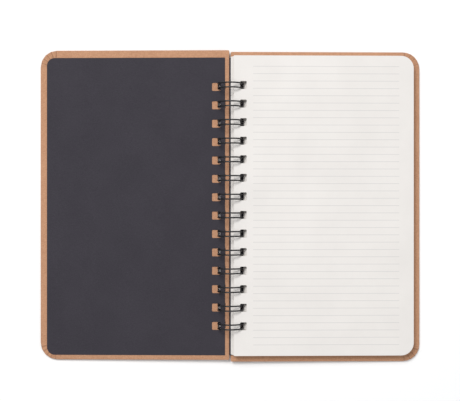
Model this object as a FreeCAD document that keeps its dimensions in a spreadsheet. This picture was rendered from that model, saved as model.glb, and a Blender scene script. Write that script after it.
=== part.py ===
import FreeCAD, Part
import math
import os
import Sketcher

# A twin-loop wire-bound notebook, lying open flat at its first page.
# Z is up, Y runs along the binding towards the head, X to the right over the back cover.
# The origin is on the table, straight below the axis of the wire loops, midway along the covers.
# Lengths are in millimetres, and every size is named once in the sheet below.

os.makedirs("parts", exist_ok=True)
doc = FreeCAD.newDocument("notebook")
V = FreeCAD.Vector
Y_AXIS = V(0, 1, 0)

SIZES = [
    ("cover_w", 130.9),  # cover, spine edge to fore-edge
    ("cover_h", 214.1),  # cover, tail to head
    ("cover_r", 11.4),  # outer corners of the covers
    ("spine_r", 0.8),  # the covers' corners at the spine
    ("spine_gap", 1.2),  # gap between the two covers when open
    ("board_t", 1.6),  # grey board
    ("wrap_t", 0.2),  # kraft paper glued round the board
    ("turn_in", 15.8),  # width of the kraft paper folded to the inside
    ("fore_inset", 7.4),  # by how much the sheets are narrower than the covers
    ("head_inset", 4.2),  # from a cover's head or tail edge to a sheet's
    ("leaf_t", 0.1),
    ("leaf_air", 0.005),
    ("leaf_r", 8.7),  # outer corners of the leaves
    ("fly_t", 0.25),  # black flyleaf card
    ("fly_air", 0.03),
    ("fly_r", 5.4),  # outer corners of the flyleaves
    ("row_margin", 15.0),  # least distance from the holes to a sheet's head or tail edge
    ("pitch", 12.7),  # two loops to the inch
    ("pair", 3.2),  # between the two wires of one loop
    ("wire_d", 1.0),
    ("loop_spare", 2.5),  # wire centre beyond the closed covers
    ("leaf_room", 3.6),  # play of the wire in the leaves' holes, across the spine
    ("fly_room", 4.9),  # the same in the flyleaves' holes
    ("sheet_play", 1.3),  # play of a loop's two wires in the sheets' holes, along the spine
    ("cover_play", 1.6),  # the same in the covers' holes
    ("leaf_hole_edge", 4.2),  # strip between a hole and the spine edge
    ("fly_hole_edge", 3.1),
    ("cover_hole_edge", 2.6),
    ("cover_clear", 0.68),  # from the wire to the far end of a cover's hole
    ("hole_r", 0.8),
    ("turning", 6),  # leaves that turn one by one
    ("pads", 5),  # groups of leaves that stay on the back cover
    ("pad_leaves", 12),  # leaves in each group
    ("lean", 1.0),  # where the top leaf hangs in its holes' play, -1 to 1
    ("bottom_lean", -0.24),  # where the lowest leaf hangs in its holes' play
    ("fly_lean", 1.0),  # where the front flyleaf hangs in its holes' play
    ("back_fly_lean", -0.8),  # where the back flyleaf hangs in its holes' play
    ("slip", 0.6),  # how far each cover slips along the binding
    ("leaf_slip", 0.2),  # how far the leaves slip towards the head
    ("fly_slip", 0.35),  # how far the flyleaves slip towards the tail
]
DERIVED = [
    ("cover_t", "=board_t + 2 * wrap_t"),
    ("leaf_step", "=leaf_t + leaf_air"),
    ("leaf_count", "=turning + pads * pad_leaves"),
    ("half_block", "=leaf_count * leaf_step / 2"),
    ("cover_in", "=half_block + fly_t + 2 * fly_air"),
    ("loop_r", "=cover_in + cover_t + loop_spare"),
    ("axis_z", "=loop_r + wire_d / 2"),
    ("sheet_w", "=cover_w - fore_inset"),
    ("sheet_h", "=cover_h - 2 * head_inset"),
    ("leaf_hole_w", "=wire_d + leaf_room"),
    ("fly_hole_w", "=wire_d + fly_room"),
    ("leaf_hole_h", "=pair + wire_d + sheet_play"),
    ("fly_hole_h", "=pair + wire_d + sheet_play"),
    ("cover_hole_h", "=pair + wire_d + cover_play"),
    ("cover_cross", "=sqrt(loop_r * loop_r - cover_in * cover_in)"),
    ("cover_wire", "=wire_d / 2 * loop_r / cover_cross"),
    ("cover_hole_w", "=cover_cross + cover_wire + cover_clear - spine_gap / 2 - cover_hole_edge"),
    ("loops", "=floor((sheet_h - leaf_hole_h - 2 * row_margin) / pitch) + 1"),
    ("first_hole", "=pitch * (loops - 1) / 2"),
    ("hole_run", "=pitch * (loops - 1)"),
]

sheet = doc.addObject("Spreadsheet::Sheet", "Sizes")
for row, (alias, value) in enumerate(SIZES + DERIVED, start=1):
    sheet.set("A%d" % row, alias)
    sheet.set("B%d" % row, str(value))
    sheet.setAlias("B%d" % row, alias)
doc.recompute()


def size(alias):
    """The value of one named size."""
    return float(sheet.get(alias))


# The tilt of each half: its fore-edge and the loops all touch the table.
reach = size("spine_gap") / 2 + size("cover_w")
outer = size("cover_in") + size("cover_t")
tilt = math.degrees(math.asin(size("axis_z") / math.hypot(reach, outer)) - math.atan2(outer, reach))


def turned(angle, x, y, z, flip=False):
    """Place a piece at x, y, z in a frame turned about the loops' axis."""
    frame = FreeCAD.Placement(V(0, 0, size("axis_z")), FreeCAD.Rotation(Y_AXIS, angle))
    over = FreeCAD.Rotation(V(1, 0, 0), 180 if flip else 0)
    return frame.multiply(FreeCAD.Placement(V(x, y, z), over))


def wire_crossing(height):
    """Where the loops' centre line is at one height above or below their axis."""
    return math.sqrt(size("loop_r") ** 2 - height**2)


def sheet_edge(height, lean, kind):
    """The spine edge of a punched sheet that hangs on the loops at one height."""
    width = size(kind + "_hole_w")
    crossing = wire_crossing(height)
    half_wire = size("wire_d") / 2 * size("loop_r") / crossing
    play = width / 2 - half_wire - 0.2
    return crossing + lean * play - width / 2 - size(kind + "_hole_edge")


def plane_of(body, role):
    """One of the body's own origin planes, found by its role."""
    return [o for o in body.Origin.OriginFeatures if o.Role == role][0]


def new_body(name):
    body = doc.addObject("PartDesign::Body", name)
    body.Label = name
    return body


def new_sketch(body, name):
    sketch = body.newObject("Sketcher::SketchObject", name)
    sketch.AttachmentSupport = [(plane_of(body, "XY_Plane"), "")]
    sketch.MapMode = "FlatFace"
    return sketch


def name_last(sketch, alias, expression):
    """Tie the constraint added last to the sheet."""
    index = sketch.ConstraintCount - 1
    sketch.renameConstraint(index, alias)
    sketch.setExpression("Constraints." + alias, expression)


def rounded_outline(sketch, tag, sides, radii, values):
    """A rectangle with rounded corners: left, right and half height, then the corner radii.

    sides and radii are expressions on the sheet, and values are their present sizes.
    """
    left, right, half, near_r, far_r = values
    centres = [(right - far_r, half - far_r, far_r, 0), (left + near_r, half - near_r, near_r, 90)]
    centres += [(left + near_r, near_r - half, near_r, 180), (right - far_r, far_r - half, far_r, 270)]
    arcs = []
    for cx, cy, radius, start in centres:
        circle = Part.Circle(V(cx, cy, 0), V(0, 0, 1), radius)
        arc = Part.ArcOfCircle(circle, math.radians(start), math.radians(start + 90))
        arcs.append(sketch.addGeometry(arc, False))
    lines = []
    for k in range(4):
        a = sketch.getPoint(arcs[k], 2)
        b = sketch.getPoint(arcs[(k + 1) % 4], 1)
        lines.append(sketch.addGeometry(Part.LineSegment(a, b), False))
    for k in range(4):
        sketch.addConstraint(Sketcher.Constraint("Tangent", arcs[k], 2, lines[k], 1))
        sketch.addConstraint(Sketcher.Constraint("Tangent", lines[k], 2, arcs[(k + 1) % 4], 1))
    sketch.addConstraint(Sketcher.Constraint("Horizontal", lines[0]))
    sketch.addConstraint(Sketcher.Constraint("Vertical", lines[1]))
    sketch.addConstraint(Sketcher.Constraint("Horizontal", lines[2]))
    sketch.addConstraint(Sketcher.Constraint("Vertical", lines[3]))
    sketch.addConstraint(Sketcher.Constraint("Equal", arcs[0], arcs[3]))
    sketch.addConstraint(Sketcher.Constraint("Equal", arcs[1], arcs[2]))
    sketch.addConstraint(Sketcher.Constraint("Radius", arcs[0], far_r))
    name_last(sketch, tag + "_far_r", radii[1])
    sketch.addConstraint(Sketcher.Constraint("Radius", arcs[1], near_r))
    name_last(sketch, tag + "_near_r", radii[0])
    sketch.addConstraint(Sketcher.Constraint("DistanceX", -1, 1, lines[1], 1, left))
    name_last(sketch, tag + "_left", sides[0])
    sketch.addConstraint(Sketcher.Constraint("DistanceX", -1, 1, lines[3], 1, right))
    name_last(sketch, tag + "_right", sides[1])
    sketch.addConstraint(Sketcher.Constraint("DistanceY", -1, 1, lines[0], 1, half))
    name_last(sketch, tag + "_head", sides[2])
    sketch.addConstraint(Sketcher.Constraint("DistanceY", lines[2], 1, -1, 1, half))
    name_last(sketch, tag + "_tail", sides[2])


def pad(body, name, sketch, thickness, offset=None):
    """A pad as thick as one expression, raised by another."""
    feature = body.newObject("PartDesign::Pad", name)
    feature.Profile = sketch
    feature.setExpression("Length", thickness)
    if offset:
        sketch.setExpression("AttachmentOffset.Base.z", offset)
    sketch.Visibility = False
    body.Tip = feature
    return feature


def punch(body, depth, kind):
    """The row of punched holes through a body whose spine edge is at X = 0."""
    sketch = new_sketch(body, body.Name + "_hole_outline")
    edge, width, height = (kind + end for end in ("_hole_edge", "_hole_w", "_hole_h"))
    near = size(edge)
    far = near + size(width)
    half = size(height) / 2
    corner = size("hole_r")
    sides = ["Sizes." + edge, "Sizes.%s + Sizes.%s" % (edge, width), "Sizes.%s / 2" % height]
    radii = ["Sizes.hole_r", "Sizes.hole_r"]
    rounded_outline(sketch, "hole", sides, radii, (near, far, half, corner, corner))
    sketch.setExpression("AttachmentOffset.Base.y", "-Sizes.first_hole")
    hole = body.newObject("PartDesign::Pocket", body.Name + "_hole")
    hole.Profile = sketch
    hole.Type = "Length"
    hole.setExpression("Length", depth)
    hole.Reversed = True
    sketch.Visibility = False
    row = body.newObject("PartDesign::LinearPattern", body.Name + "_hole_row")
    row.Originals = [hole]
    row.Direction = (plane_of(body, "Y_Axis"), [""])
    row.setExpression("Length", "Sizes.hole_run")
    row.setExpression("Occurrences", "Sizes.loops")
    body.Tip = row


def punched_sheet(name, kind):
    """A leaf or a flyleaf: spine edge at X = 0, lower face at Z = 0."""
    body = new_body(name)
    sketch = new_sketch(body, name + "_outline")
    values = (0.0, size("sheet_w"), size("sheet_h") / 2, 0.3, size(kind + "_r"))
    sides = ["0", "Sizes.sheet_w", "Sizes.sheet_h / 2"]
    rounded_outline(sketch, "sheet", sides, ["0.3", "Sizes.%s_r" % kind], values)
    pad(body, name + "_pad", sketch, "Sizes.%s_t" % kind)
    punch(body, "Sizes.%s_t" % kind, kind)
    return body


def cover_outline(body, name, inset=None):
    """The outline of a cover, or the same outline drawn in by the wrap's thickness."""
    sketch = new_sketch(body, name)
    add_cover_outline(sketch, "cover", inset)
    return sketch


def add_cover_outline(sketch, tag, inset):
    less = size(inset) if inset else 0.0
    cut = " - Sizes." + inset if inset else ""
    add = "Sizes." + inset if inset else "0"
    values = (less, size("cover_w") - less, size("cover_h") / 2 - less)
    values += (size("spine_r") - less, size("cover_r") - less)
    sides = [add, "Sizes.cover_w" + cut, "Sizes.cover_h / 2" + cut]
    radii = ["Sizes.spine_r" + cut, "Sizes.cover_r" + cut]
    rounded_outline(sketch, tag, sides, radii, values)


def add_window_outline(sketch, tag):
    """The opening that the turn-ins leave on the inside, filled by the lining sheet."""
    edge = size("turn_in")
    values = (edge, size("cover_w") - edge, size("cover_h") / 2 - edge, 1.0, 1.0)
    sides = ["Sizes.turn_in", "Sizes.cover_w - Sizes.turn_in", "Sizes.cover_h / 2 - Sizes.turn_in"]
    rounded_outline(sketch, tag, sides, ["1", "1"], values)


def make_board(name):
    """Grey board core of a cover, between the two layers of kraft paper."""
    body = new_body(name)
    sketch = cover_outline(body, name + "_outline", "wrap_t")
    pad(body, name + "_pad", sketch, "Sizes.board_t", "Sizes.wrap_t")
    punch(body, "Sizes.cover_t", "cover")
    return body


def make_wrap(name):
    """Kraft paper round a board: turn-ins on the inside, the folded rim, the outer face."""
    body = new_body(name)
    turn = cover_outline(body, name + "_turn_outline")
    add_window_outline(turn, "window")
    pad(body, name + "_turn_in", turn, "Sizes.wrap_t")
    rim = cover_outline(body, name + "_rim_outline")
    add_cover_outline(rim, "inner", "wrap_t")
    pad(body, name + "_rim", rim, "Sizes.cover_t")
    face = cover_outline(body, name + "_face_outline")
    pad(body, name + "_face", face, "Sizes.wrap_t", "Sizes.cover_t - Sizes.wrap_t")
    punch(body, "Sizes.cover_t", "cover")
    return body


def make_liner(name):
    """Lining sheet glued on the inside, up to the turn-ins."""
    body = new_body(name)
    sketch = new_sketch(body, name + "_outline")
    add_window_outline(sketch, "window")
    pad(body, name + "_pad", sketch, "Sizes.wrap_t")
    return body


def leaf_place(number):
    """Where leaf NUMBER lies on the back cover, counted from the top."""
    low = size("half_block") - number * size("leaf_step")
    deep = (number - 1) / (size("leaf_count") - 1)
    x = sheet_edge(low, size("lean") + deep * (size("bottom_lean") - size("lean")), "leaf")
    return turned(tilt, x, size("leaf_slip"), low)


def make_pad_of_leaves(name, first, count, pattern):
    """A group of separate leaves, each one step lower than the one above."""
    leaves = []
    for number in range(first, first + count):
        leaf = pattern.copy()
        leaf.Placement = leaf_place(number)
        leaves.append(leaf)
    group = doc.addObject("Part::Feature", name)
    group.Label = name
    group.Shape = Part.makeCompound(leaves)
    return group


def ring_point(angle, y, along=0.0):
    """A point on the loops' centre line, or straight on past it along the tangent."""
    a = math.radians(angle)
    radius = size("loop_r")
    x = radius * math.cos(a) - along * math.sin(a)
    z = radius * math.sin(a) + along * math.cos(a)
    return V(x, y, z)


def arc_through(a, b, c):
    return Part.Arc(a, b, c).toShape()


def wire_path():
    """The centre line of the one wire that makes all the loops."""
    start, end = -56.0, 272.0
    bend = 1.0
    half = size("pair") / 2
    short = bend * (1 - math.sqrt(0.5))
    edges = []
    last_y = None
    for k in range(int(size("loops"))):
        y = -size("first_hole") + k * size("pitch")
        low, high = y - half, y + half
        root = ring_point(start, low - bend, -bend)
        if last_y is None:
            last_y = low - bend - 1.2
        edges.append(Part.makeLine(ring_point(start, last_y, -bend), root))
        middle = ring_point(start, low - short, short - bend)
        edges.append(arc_through(root, middle, ring_point(start, low)))
        way = (start + end) / 2
        edges.append(arc_through(ring_point(start, low), ring_point(way, low), ring_point(end, low)))
        tip = ring_point(end, y, half)
        edges.append(arc_through(ring_point(end, low), tip, ring_point(end, high)))
        edges.append(arc_through(ring_point(end, high), ring_point(way, high), ring_point(start, high)))
        middle = ring_point(start, high + short, short - bend)
        leave = ring_point(start, high + bend, -bend)
        edges.append(arc_through(ring_point(start, high), middle, leave))
        last_y = high + bend
    edges.append(Part.makeLine(leave, ring_point(start, last_y + 1.2, -bend)))
    return Part.Wire(edges)


def make_wire_comb(name):
    """The wire, swept along its path; each hairpin closes round the punched holes."""
    path = wire_path()
    first = path.Edges[0]
    circle = Part.makeCircle(size("wire_d") / 2, first.Vertexes[0].Point, Y_AXIS)
    shape = path.makePipe(Part.Face(Part.Wire(circle)))
    comb = doc.addObject("Part::Feature", name)
    comb.Label = name
    comb.Shape = shape
    comb.Placement = FreeCAD.Placement(V(0, 0, size("axis_z")), FreeCAD.Rotation())
    return comb


nodes = []
edge_x = size("spine_gap") / 2
for side in ("front", "back"):
    front = side == "front"
    angle = 180 - tilt if front else tilt
    y = size("slip") if front else -size("slip")
    z = size("cover_in") if front else -size("cover_in")
    for part in (make_board(side + "_board"), make_wrap(side + "_wrap"), make_liner(side + "_liner")):
        part.Placement = turned(angle, edge_x, y, z, not front)
        nodes.append(part)
    fly = punched_sheet(side + "_flyleaf", "fly")
    fly_low = size("half_block") + size("fly_air")
    hang = size("fly_lean") if front else size("back_fly_lean")
    fly_x = sheet_edge(fly_low + size("fly_t"), hang, "fly")
    fly.Placement = turned(angle, fly_x, -size("fly_slip"), fly_low if front else -fly_low, not front)
    nodes.append(fly)

turning = int(size("turning"))
for number in range(1, turning + 1):
    leaf = punched_sheet("leaf_%02d" % number, "leaf")
    leaf.Placement = leaf_place(number)
    nodes.append(leaf)
doc.recompute()

pattern = doc.getObject("leaf_01").Shape.copy()
pattern.Placement = FreeCAD.Placement()
for k in range(int(size("pads"))):
    first = turning + 1 + k * int(size("pad_leaves"))
    nodes.append(make_pad_of_leaves("leaves_" + "abcdefgh"[k], first, int(size("pad_leaves")), pattern))
nodes.append(make_wire_comb("wire_comb"))
doc.recompute()

bad = [o.Label for o in doc.Objects if "Invalid" in o.State or "Error" in o.State]
bad += [n.Label for n in nodes if n.Shape.isNull() or not n.Shape.isValid() or not n.Shape.Solids]
if bad:
    raise RuntimeError("not sound: " + ", ".join(bad))
for node in nodes:
    node.Shape.exportStep("parts/%s.step" % node.Label)
    print(node.Label, len(node.Shape.Solids), round(node.Shape.Volume, 2))
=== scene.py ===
import math

import bpy
from mathutils import Matrix, Vector


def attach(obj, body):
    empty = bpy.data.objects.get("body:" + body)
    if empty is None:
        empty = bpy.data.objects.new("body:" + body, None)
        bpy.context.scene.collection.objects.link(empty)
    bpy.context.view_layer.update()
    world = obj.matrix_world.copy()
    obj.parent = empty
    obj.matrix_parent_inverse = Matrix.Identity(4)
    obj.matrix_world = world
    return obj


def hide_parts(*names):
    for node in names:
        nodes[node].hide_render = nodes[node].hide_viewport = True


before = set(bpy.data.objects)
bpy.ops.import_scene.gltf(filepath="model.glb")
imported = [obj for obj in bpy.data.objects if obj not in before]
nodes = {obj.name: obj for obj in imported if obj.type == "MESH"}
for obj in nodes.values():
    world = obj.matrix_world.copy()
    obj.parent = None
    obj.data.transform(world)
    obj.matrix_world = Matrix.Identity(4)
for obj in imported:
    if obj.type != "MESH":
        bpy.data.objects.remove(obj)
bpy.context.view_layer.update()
MM = 0.001
PER_METRE = 1000.0

# The notebook's own sizes, in millimetres and degrees, as the frame has them.
AXIS_Z = 8.775
TILT = 1.307898
SPINE_X = 0.6
COVER_IN = 3.775
COVER_W, COVER_H, COVER_T = 130.9, 214.1, 2.0
CORNER_R, SPINE_R = 11.4, 0.8
SKIN = 0.2
TURN_IN = 15.8
SLIP = 0.6
HOLE_W, HOLE_H, HOLE_R, HOLE_EDGE = 5.4, 5.8, 0.8, 2.6
LOOPS, PITCH = 14, 12.7

# How much the rim of a cover is rounded where its paper folds over the board.
RIM_R = 0.42

# The small folds at the gathered corners: how far from the corner's centre they start, the share
# of their width left there, how deep they are sunk, and the share of their height rounded off.
PLEAT_START = 7.2
PLEAT_NARROW = 0.35
PLEAT_SUNK = 0.1
PLEAT_SOFT = 0.45

# The ruling of the leaves: first line, step, number of lines, and where they start and end.
RULE_FIRST, RULE_STEP, RULE_COUNT = 95.6, 5.018, 39
RULE_LEFT, RULE_RIGHT = 15.8, 116.2

# Cutters are a little larger than the frame's holes, and reach past the faces that they cut.
CUT_GROW = 0.03
CUT_PAST = 1.0
RECESS_SPARE = 0.02

# Points closer than this are in the same place.
SAME = 0.01

# The camera looks straight down, its place in metres.
CAMERA_PLACE = (0.0, 0.00373, 0.714)
CAMERA_LENS, CAMERA_SENSOR = 80.32, 36.0


# ---------------------------------------------------------------- finishes


class Flow:
    """One socket of a finish. Arithmetic on it adds the Math nodes."""

    def __init__(self, finish, socket):
        self.finish = finish
        self.socket = socket

    def math(self, operation, *others):
        inputs = {0: self}
        for place, other in enumerate(others, start=1):
            inputs[place] = other
        return self.finish.node("ShaderNodeMath", {"operation": operation}, inputs)

    def __add__(self, other):
        return self.math("ADD", other)

    __radd__ = __add__

    def __mul__(self, other):
        return self.math("MULTIPLY", other)

    __rmul__ = __mul__

    def __sub__(self, other):
        return self.math("SUBTRACT", other)

    def __rsub__(self, other):
        return (self * -1.0) + other

    def __truediv__(self, other):
        return self.math("DIVIDE", other)

    def __abs__(self):
        return self.math("ABSOLUTE")

    def __gt__(self, other):
        return self.math("GREATER_THAN", other)

    def __lt__(self, other):
        return self.math("LESS_THAN", other)

    def fraction(self):
        return self.math("FRACT")

    def between(self, low, high, start=0.0, end=1.0):
        """Rises smoothly from start to end as the value goes from low to high."""
        settings = {"interpolation_type": "SMOOTHSTEP"}
        inputs = {"Value": self, "From Min": low, "From Max": high, "To Min": start, "To Max": end}
        return self.finish.node("ShaderNodeMapRange", settings, inputs)


class Finish:
    """One material, built from nodes."""

    def __init__(self, name):
        self.material = bpy.data.materials.new(name)
        self.material.use_nodes = True
        self.tree = self.material.node_tree
        self.tree.nodes.clear()
        place = self.tree.nodes.new("ShaderNodeTexCoord")
        self.place = Flow(self, place.outputs["Object"])
        split = self.node("ShaderNodeSeparateXYZ", {}, {0: self.place})
        outputs = split.socket.node.outputs
        self.x = Flow(self, outputs[0])
        self.y = Flow(self, outputs[1])

    def node(self, kind, settings, inputs, out=0):
        """Any node: its type, its settings, the values or links of its sockets, the output used."""
        made = self.tree.nodes.new(kind)
        for key, value in settings.items():
            setattr(made, key, value)
        for key, value in inputs.items():
            if isinstance(value, Flow):
                self.tree.links.new(value.socket, made.inputs[key])
            else:
                made.inputs[key].default_value = value
        return Flow(self, made.outputs[out]) if made.outputs else None

    def stretched(self, scale, turn=0.0):
        """Object coordinates turned about Z and then scaled along each axis."""
        inputs = {"Vector": self.place, "Rotation": (0.0, 0.0, math.radians(turn)), "Scale": scale}
        return self.node("ShaderNodeMapping", {"vector_type": "POINT"}, inputs)

    def noise(self, scale, detail, roughness=0.55, stretch=None, turn=0.0):
        """Soft noise, its grain stretched along an axis and turned about Z if asked."""
        source = self.stretched(stretch, turn) if stretch else self.place
        inputs = {"Vector": source, "Scale": scale, "Detail": detail, "Roughness": roughness}
        return self.node("ShaderNodeTexNoise", {"noise_dimensions": "3D"}, inputs)

    def mix(self, factor, a, b):
        """Two colours mixed."""
        settings = {"data_type": "RGBA", "blend_type": "MIX", "clamp_factor": True}
        return self.node("ShaderNodeMix", settings, {0: factor, 6: a, 7: b}, 2)

    def shade(self, colour, factor):
        """A colour made lighter or darker by a value around 1."""
        grey = self.node("ShaderNodeCombineXYZ", {}, {0: factor, 1: factor, 2: factor})
        return self.node("ShaderNodeVectorMath", {"operation": "MULTIPLY"}, {0: colour, 1: grey})

    def bump(self, height, distance, strength, under=None):
        """A relief, on top of another one if that is given."""
        inputs = {"Strength": strength, "Distance": distance, "Height": height}
        if under is not None:
            inputs["Normal"] = under
        return self.node("ShaderNodeBump", {}, inputs)

    def surface(self, colour, roughness, normal, **fixed):
        inputs = {"Base Color": colour, "Roughness": roughness}
        if normal is not None:
            inputs["Normal"] = normal
        for key, value in fixed.items():
            inputs[key.replace("_", " ")] = value
        shader = self.node("ShaderNodeBsdfPrincipled", {}, inputs)
        self.node("ShaderNodeOutputMaterial", {}, {0: shader})
        return self.material


def colour(red, green, blue):
    """A colour as seen on a screen, 0 to 255, turned to linear light."""
    linear = []
    for value in (red, green, blue):
        v = value / 255
        linear.append(v / 12.92 if v <= 0.04045 else ((v + 0.055) / 1.055) ** 2.4)
    return (*linear, 1.0)


def corner_angle(finish, side):
    """Distance and angle from the centre of a cover's nearer outer corner, in mm and turns.

    The third value is 1 in the corner's own quarter and 0 elsewhere.
    """
    centre_x = SPINE_X + COVER_W - CORNER_R
    centre_y = COVER_H / 2 - CORNER_R
    along = abs(finish.x) * PER_METRE - centre_x
    across = abs(finish.y * PER_METRE - side * SLIP) - centre_y
    angle = across.math("ARCTAN2", along) / (2 * math.pi)
    radius = (along * along + across * across).math("SQRT")
    inside = (along > 0.0) * (across > 0.0)
    return radius, angle, inside


def kraft_finish(name, side, pleats):
    """Brown kraft paper: crossed fibres, dark and pale flecks, soft cloudiness, pleated corners
    with painted shade along their folds.
    """
    f = Finish(name)
    cloud = f.noise(55.0, 4.0, 0.6)
    grain = f.noise(1500.0, 3.0, 0.7)
    along = f.noise(420.0, 3.0, 0.65, (1.0, 5.5, 1.0), 8.0)
    cross = f.noise(420.0, 3.0, 0.65, (5.5, 1.0, 1.0), -14.0)
    slant = f.noise(500.0, 2.0, 0.6, (1.0, 6.5, 1.0), 52.0)
    fibres = (along + cross + slant) / 3.0
    dark = f.noise(900.0, 2.0, 0.6, (1.0, 4.0, 1.0), 33.0).between(0.66, 0.76)
    pale = f.noise(760.0, 2.0, 0.6, (4.5, 1.0, 1.0), 21.0).between(0.66, 0.78)
    base = f.mix(cloud.between(0.2, 0.8), colour(171, 124, 94), colour(182, 136, 105))
    base = f.mix(fibres.between(0.4, 0.62), base, colour(194, 148, 117))
    base = f.mix(dark * 0.55, base, colour(118, 79, 57))
    base = f.mix(pale * 0.5, base, colour(206, 173, 146))
    base = f.shade(base, grain.between(0.25, 0.75, 0.9, 1.1))
    height = fibres * 0.6 + grain * 0.4
    if pleats:
        radius, angle, inside = corner_angle(f, side)
        folds = (angle * 4.0 * pleats + f.noise(90.0, 1.0) * 0.5).fraction()
        # Painted shade: the kraft is darkened in a thin line along each fold of the gathered
        # corners, standing for the shade that falls there.
        painted_fold_shade = inside * folds.between(0.0, 0.16, 1.0, 0.0) * radius.between(5.5, 7.5)
        base = f.mix(painted_fold_shade * 0.8, base, colour(120, 79, 57))
        ramp = inside * folds * radius.between(5.0, 8.0)
        fold = f.bump(ramp, 0.0004, 1.0)
        normal = f.bump(height, 0.00006, 0.7, fold)
    else:
        normal = f.bump(height, 0.00006, 0.7)
    rough = grain.between(0.2, 0.8, 0.74, 0.9)
    return f.surface(base, rough, normal, Specular_IOR_Level=0.25, Sheen_Weight=0.08)


def card_finish(name):
    """Charcoal-black uncoated card with a felt-like grain and a few pale fibres."""
    f = Finish(name)
    cloud = f.noise(38.0, 3.0, 0.6)
    grain = f.noise(1800.0, 3.0, 0.7)
    felt = f.noise(600.0, 3.0, 0.6, (1.0, 2.6, 1.0), 18.0)
    lint = f.noise(700.0, 1.0, 0.5, (1.0, 9.0, 1.0), 64.0).between(0.76, 0.82)
    base = f.mix(cloud.between(0.3, 0.7), colour(54, 51, 58), colour(57, 54, 61))
    base = f.shade(base, grain.between(0.25, 0.75, 0.86, 1.14))
    base = f.mix(lint * 0.3, base, colour(120, 118, 124))
    normal = f.bump(felt * 0.6 + grain * 0.4, 0.00005, 0.7)
    return f.surface(base, felt.between(0.3, 0.7, 0.72, 0.86), normal, Specular_IOR_Level=0.22)


def leaf_finish(name):
    """Off-white writing paper, faintly fibrous, with fine grey ruled lines."""
    f = Finish(name)
    cloud = f.noise(30.0, 4.0, 0.6)
    grain = f.noise(2200.0, 3.0, 0.7)
    fibre = f.noise(800.0, 2.0, 0.6, (1.0, 4.0, 1.0), 12.0)
    base = f.mix(cloud.between(0.25, 0.75), colour(224, 220, 216), colour(229, 225, 221))
    base = f.shade(base, grain.between(0.2, 0.8, 0.985, 1.015))
    down = (f.y * -PER_METRE + RULE_FIRST) / RULE_STEP + 0.5
    off = abs(down.fraction() - 0.5) * RULE_STEP
    ink = off.between(0.1, 0.3, 1.0, 0.0) * (down > 0.0) * (down < float(RULE_COUNT))
    ink = ink * (f.x > RULE_LEFT * MM) * (f.x < RULE_RIGHT * MM)
    ink = ink * grain.between(0.25, 0.6, 0.75, 1.0)
    base = f.mix(ink * 0.26, base, colour(132, 134, 142))
    normal = f.bump(fibre * 0.5 + grain * 0.5, 0.00003, 0.6)
    return f.surface(base, fibre.between(0.3, 0.7, 0.8, 0.9), normal, Specular_IOR_Level=0.25)


def board_finish(name):
    """Raw grey-brown board, seen on the walls of the punched holes."""
    f = Finish(name)
    layers = f.noise(500.0, 3.0, 0.6, (1.0, 1.0, 8.0))
    grain = f.noise(2400.0, 2.0, 0.7)
    base = f.mix(layers.between(0.35, 0.65), colour(126, 112, 98), colour(164, 150, 134))
    base = f.shade(base, grain.between(0.2, 0.8, 0.85, 1.12))
    normal = f.bump(layers * 0.5 + grain * 0.5, 0.0001, 0.8)
    return f.surface(base, grain.between(0.2, 0.8, 0.85, 0.95), normal, Specular_IOR_Level=0.2)


def wire_finish(name):
    """Black plastic-coated steel wire, satin, with tiny dimples and rubbed spots."""
    f = Finish(name)
    dimples = f.noise(2600.0, 2.0, 0.6)
    rubbed = f.noise(340.0, 3.0, 0.65).between(0.66, 0.8)
    base = f.mix(rubbed * 0.5, colour(15, 15, 19), colour(46, 46, 52))
    rough = dimples.between(0.3, 0.7, 0.36, 0.5) + rubbed * 0.12
    normal = f.bump(dimples, 0.00002, 0.5)
    return f.surface(base, rough, normal, Coat_Weight=0.15, Coat_Roughness=0.3)


def floor_finish(name):
    """A pale, matt table, very slightly uneven in tone."""
    f = Finish(name)
    mist = f.noise(3.0, 2.0)
    base = f.mix(mist, colour(246, 246, 246), colour(249, 249, 249))
    return f.surface(base, 0.9, None, Specular_IOR_Level=0.1)


# ---------------------------------------------------------------- hand tools


def deselect():
    bpy.ops.object.select_all(action="DESELECT")


def pick(*pieces):
    deselect()
    for piece in pieces:
        piece.select_set(True)
    bpy.context.view_layer.objects.active = pieces[-1]


def add_block(name, low, high):
    """A block from one corner to the other, in millimetres."""
    deselect()
    middle = [(a + b) / 2 * MM for a, b in zip(low, high)]
    scale = [(b - a) * MM for a, b in zip(low, high)]
    bpy.ops.mesh.primitive_cube_add(size=1.0, location=middle, scale=scale)
    block = bpy.context.active_object
    block.name = name
    bpy.ops.object.transform_apply(location=True, rotation=True, scale=True)
    return block


def edit_edges(piece, chosen):
    """Edit mode with just those edges selected whose two ends pass the test."""
    pick(piece)
    bpy.ops.object.mode_set(mode="EDIT")
    bpy.ops.mesh.select_mode(type="EDGE")
    bpy.ops.mesh.select_all(action="DESELECT")
    bpy.ops.object.mode_set(mode="OBJECT")
    points = piece.data.vertices
    for edge in piece.data.edges:
        a, b = points[edge.vertices[0]].co / MM, points[edge.vertices[1]].co / MM
        edge.select = bool(chosen(a, b))
    bpy.ops.object.mode_set(mode="EDIT")


def bevel(piece, chosen, width, segments):
    edit_edges(piece, chosen)
    bpy.ops.mesh.bevel(offset=width * MM, segments=segments, profile=0.5, affect="EDGES")
    bpy.ops.object.mode_set(mode="OBJECT")


def upright(a, b):
    return abs(a.z - b.z) > SAME and (a.xy - b.xy).length < SAME


def outer_corner(a, b):
    """An upright edge at one of a cover's two fore-edge corners."""
    return upright(a, b) and a.x > COVER_W - 1


def spine_corner(a, b):
    """An upright edge at one of a cover's two corners at the binding."""
    return upright(a, b) and a.x < 0.1


def rim(a, b):
    """An edge round the inner or the outer face of a cover."""
    return abs(a.z - b.z) < SAME and (a.z < SAME or a.z > COVER_T - SAME)


def ridge(a, b):
    """An edge round the raised face of a fold of paper."""
    return a.z < -SAME and b.z < -SAME


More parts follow.
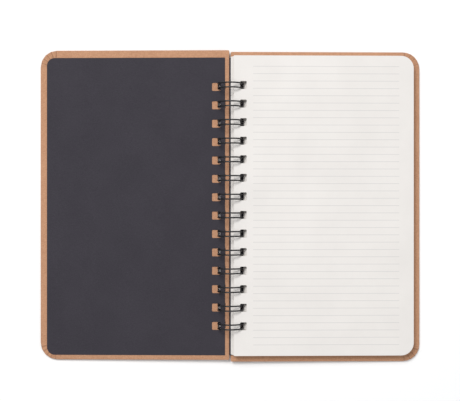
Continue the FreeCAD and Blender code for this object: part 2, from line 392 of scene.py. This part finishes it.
def carry(piece, matrix):
    """Put a finished piece in its place, with the place in its mesh."""
    piece.matrix_world = matrix
    pick(piece)
    bpy.ops.object.transform_apply(location=True, rotation=True, scale=True)


def smooth(piece, angle):
    pick(piece)
    bpy.ops.object.shade_smooth_by_angle(angle=math.radians(angle))


def set_finish(piece, material):
    piece.data.materials.clear()
    piece.data.materials.append(material)


def cover_place(front):
    """The same place in the open notebook that the frame gives a cover."""
    turn = 180 - TILT if front else TILT
    y = SLIP if front else -SLIP
    z = COVER_IN if front else -COVER_IN
    place = Matrix.Translation((0, 0, AXIS_Z * MM)) @ Matrix.Rotation(math.radians(turn), 4, "Y")
    place = place @ Matrix.Translation((SPINE_X * MM, y * MM, z * MM))
    return place if front else place @ Matrix.Rotation(math.pi, 4, "X")


# ---------------------------------------------------------------- covers


def hole_punches():
    """The row of punches, and a shallow block for the lining sheet's recess."""
    first = -PITCH * (LOOPS - 1) / 2
    half = HOLE_H / 2 + CUT_GROW
    low = (HOLE_EDGE - CUT_GROW, first - half, -CUT_PAST)
    high = (HOLE_EDGE + HOLE_W + CUT_GROW, first + half, COVER_T + CUT_PAST)
    punch = add_block("punches", low, high)
    bevel(punch, upright, HOLE_R, 4)
    pick(punch)
    row = punch.modifiers.new("row", "ARRAY")
    row.use_relative_offset = False
    row.use_constant_offset = True
    row.constant_offset_displace = (0, PITCH * MM, 0)
    row.count = LOOPS
    bpy.ops.object.modifier_apply(modifier="row")
    half = COVER_H / 2 - TURN_IN + CUT_GROW
    low = (TURN_IN - CUT_GROW, -half, -CUT_PAST)
    high = (COVER_W - TURN_IN + CUT_GROW, half, SKIN + RECESS_SPARE)
    recess = add_block("recess", low, high)
    pick(recess, punch)
    bpy.ops.object.join()
    return punch


def make_cover_paper(name, facets):
    """A cover's kraft paper: rounded corners, soft folded rim, punched holes, lining recess."""
    cover = add_block(name, (0, -COVER_H / 2, 0), (COVER_W, COVER_H / 2, COVER_T))
    bevel(cover, outer_corner, CORNER_R, facets)
    bevel(cover, spine_corner, SPINE_R, 3)
    bevel(cover, rim, RIM_R, 4)
    punches = hole_punches()
    pick(cover)
    cut = cover.modifiers.new("punch", "BOOLEAN")
    cut.operation = "DIFFERENCE"
    cut.solver = "EXACT"
    cut.object = punches
    bpy.ops.object.modifier_apply(modifier="punch")
    bpy.data.objects.remove(punches)
    smooth(cover, 32)
    return cover


def make_pleats(name, seats):
    """Small folds of paper where the turn-in is gathered round the outer corners.

    Each seat is the corner's side (head 1, tail -1), the fold's angle, its width and its height.
    """
    folds = []
    centre_x = COVER_W - CORNER_R
    inner_end = (PLEAT_START * MM, 0, 0)
    for side, angle, width, height in seats:
        low = (PLEAT_START, -width / 2, -height)
        fold = add_block(name, low, (CORNER_R - RIM_R, width / 2, PLEAT_SUNK))
        pick(fold)
        bpy.ops.object.mode_set(mode="EDIT")
        bpy.ops.mesh.select_all(action="DESELECT")
        bpy.ops.object.mode_set(mode="OBJECT")
        for point in fold.data.vertices:
            point.select = point.co.x < (PLEAT_START + SAME) * MM
        bpy.ops.object.mode_set(mode="EDIT")
        bpy.ops.transform.resize(value=(1, PLEAT_NARROW, 1), center_override=inner_end)
        bpy.ops.object.mode_set(mode="OBJECT")
        bevel(fold, ridge, height * PLEAT_SOFT, 2)
        centre = Vector((centre_x, side * (COVER_H / 2 - CORNER_R), 0)) * MM
        turn = Matrix.Rotation(math.radians(side * angle), 4, "Z")
        carry(fold, Matrix.Translation(centre) @ turn)
        folds.append(fold)
    pick(*folds)
    bpy.ops.object.join()
    pleats = bpy.context.active_object
    pleats.name = name
    smooth(pleats, 30)
    return pleats


# Side, angle in degrees, width and height in millimetres, for make_pleats.
FRONT_FOLDS = [
    (1, 8, 1.7, 0.1),
    (1, 27, 1.9, 0.14),
    (1, 46, 1.8, 0.1),
    (1, 64, 2.0, 0.15),
    (1, 84, 1.6, 0.12),
    (-1, 6, 1.8, 0.12),
    (-1, 25, 1.9, 0.15),
    (-1, 47, 2.0, 0.11),
    (-1, 66, 1.8, 0.14),
    (-1, 85, 1.6, 0.1),
]
BACK_FOLDS = [
    (1, 4, 2.0, 0.16),
    (1, 24, 1.8, 0.1),
    (1, 44, 1.9, 0.13),
    (1, 66, 1.8, 0.11),
    (-1, 10, 1.7, 0.12),
    (-1, 30, 1.9, 0.12),
    (-1, 52, 1.8, 0.14),
    (-1, 74, 1.8, 0.1),
]

for front in (True, False):
    side = "front" if front else "back"
    body = "front_cover" if front else "back_half"
    sign = 1.0 if front else -1.0
    kraft = kraft_finish(side + "_kraft", sign, 5.0 if front else 4.0)
    lining = kraft_finish(side + "_lining_kraft", sign, 0.0)
    paper = make_cover_paper(side + "_cover_paper", 4 if front else 6)
    carry(paper, cover_place(front))
    set_finish(paper, kraft)
    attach(paper, body)
    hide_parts(side + "_wrap")
    pleats = make_pleats(side + "_pleats", FRONT_FOLDS if front else BACK_FOLDS)
    carry(pleats, cover_place(front))
    set_finish(pleats, kraft)
    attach(pleats, body)
    set_finish(nodes[side + "_liner"], lining)
    set_finish(nodes[side + "_board"], board_finish(side + "_raw_board"))
    set_finish(nodes[side + "_flyleaf"], card_finish(side + "_black_card"))


# ---------------------------------------------------------------- leaves

ruled_paper = leaf_finish("ruled_paper")
for name in nodes:
    if name.startswith("leaf_") or name.startswith("leaves_"):
        set_finish(nodes[name], ruled_paper)


# ---------------------------------------------------------------- wire

set_finish(nodes["wire_comb"], wire_finish("black_wire"))


# ---------------------------------------------------------------- table, light, camera


def add_floor():
    deselect()
    bpy.ops.mesh.primitive_plane_add(size=6.0, location=(0, 0, 0))
    floor = bpy.context.active_object
    floor.name = "table"
    bpy.ops.object.mode_set(mode="EDIT")
    bpy.ops.mesh.subdivide(number_cuts=3)
    bpy.ops.object.mode_set(mode="OBJECT")
    set_finish(floor, floor_finish("pale_table"))


def add_lamp(name, place, width, height, power):
    """A soft lamp that looks at the origin; its sizes are in metres."""
    deselect()
    bpy.ops.object.light_add(type="AREA", location=place)
    lamp = bpy.context.active_object
    lamp.name = name
    lamp.data.shape = "RECTANGLE"
    lamp.data.size = width
    lamp.data.size_y = height
    lamp.data.energy = power
    look = -Vector(place)
    lamp.rotation_euler = look.to_track_quat("-Z", "Y").to_euler()


def add_world(strength):
    world = bpy.data.worlds.new("studio")
    bpy.context.scene.world = world
    world.use_nodes = True
    back = world.node_tree.nodes["Background"]
    back.inputs[0].default_value = (0.97, 0.985, 1.0, 1.0)
    back.inputs[1].default_value = strength


def add_camera():
    deselect()
    bpy.ops.object.camera_add(location=CAMERA_PLACE, rotation=(0, 0, 0))
    camera = bpy.context.active_object
    camera.data.sensor_width = CAMERA_SENSOR
    camera.data.lens = CAMERA_LENS
    bpy.context.scene.camera = camera


add_floor()
add_world(0.37)
add_lamp("window", (-0.52, 0.78, 1.66), 0.8, 0.7, 27.0)
add_lamp("fill", (0.8, -0.1, 1.5), 1.6, 1.6, 6.4)
add_camera()
bpy.context.scene.view_settings.view_transform = "Standard"
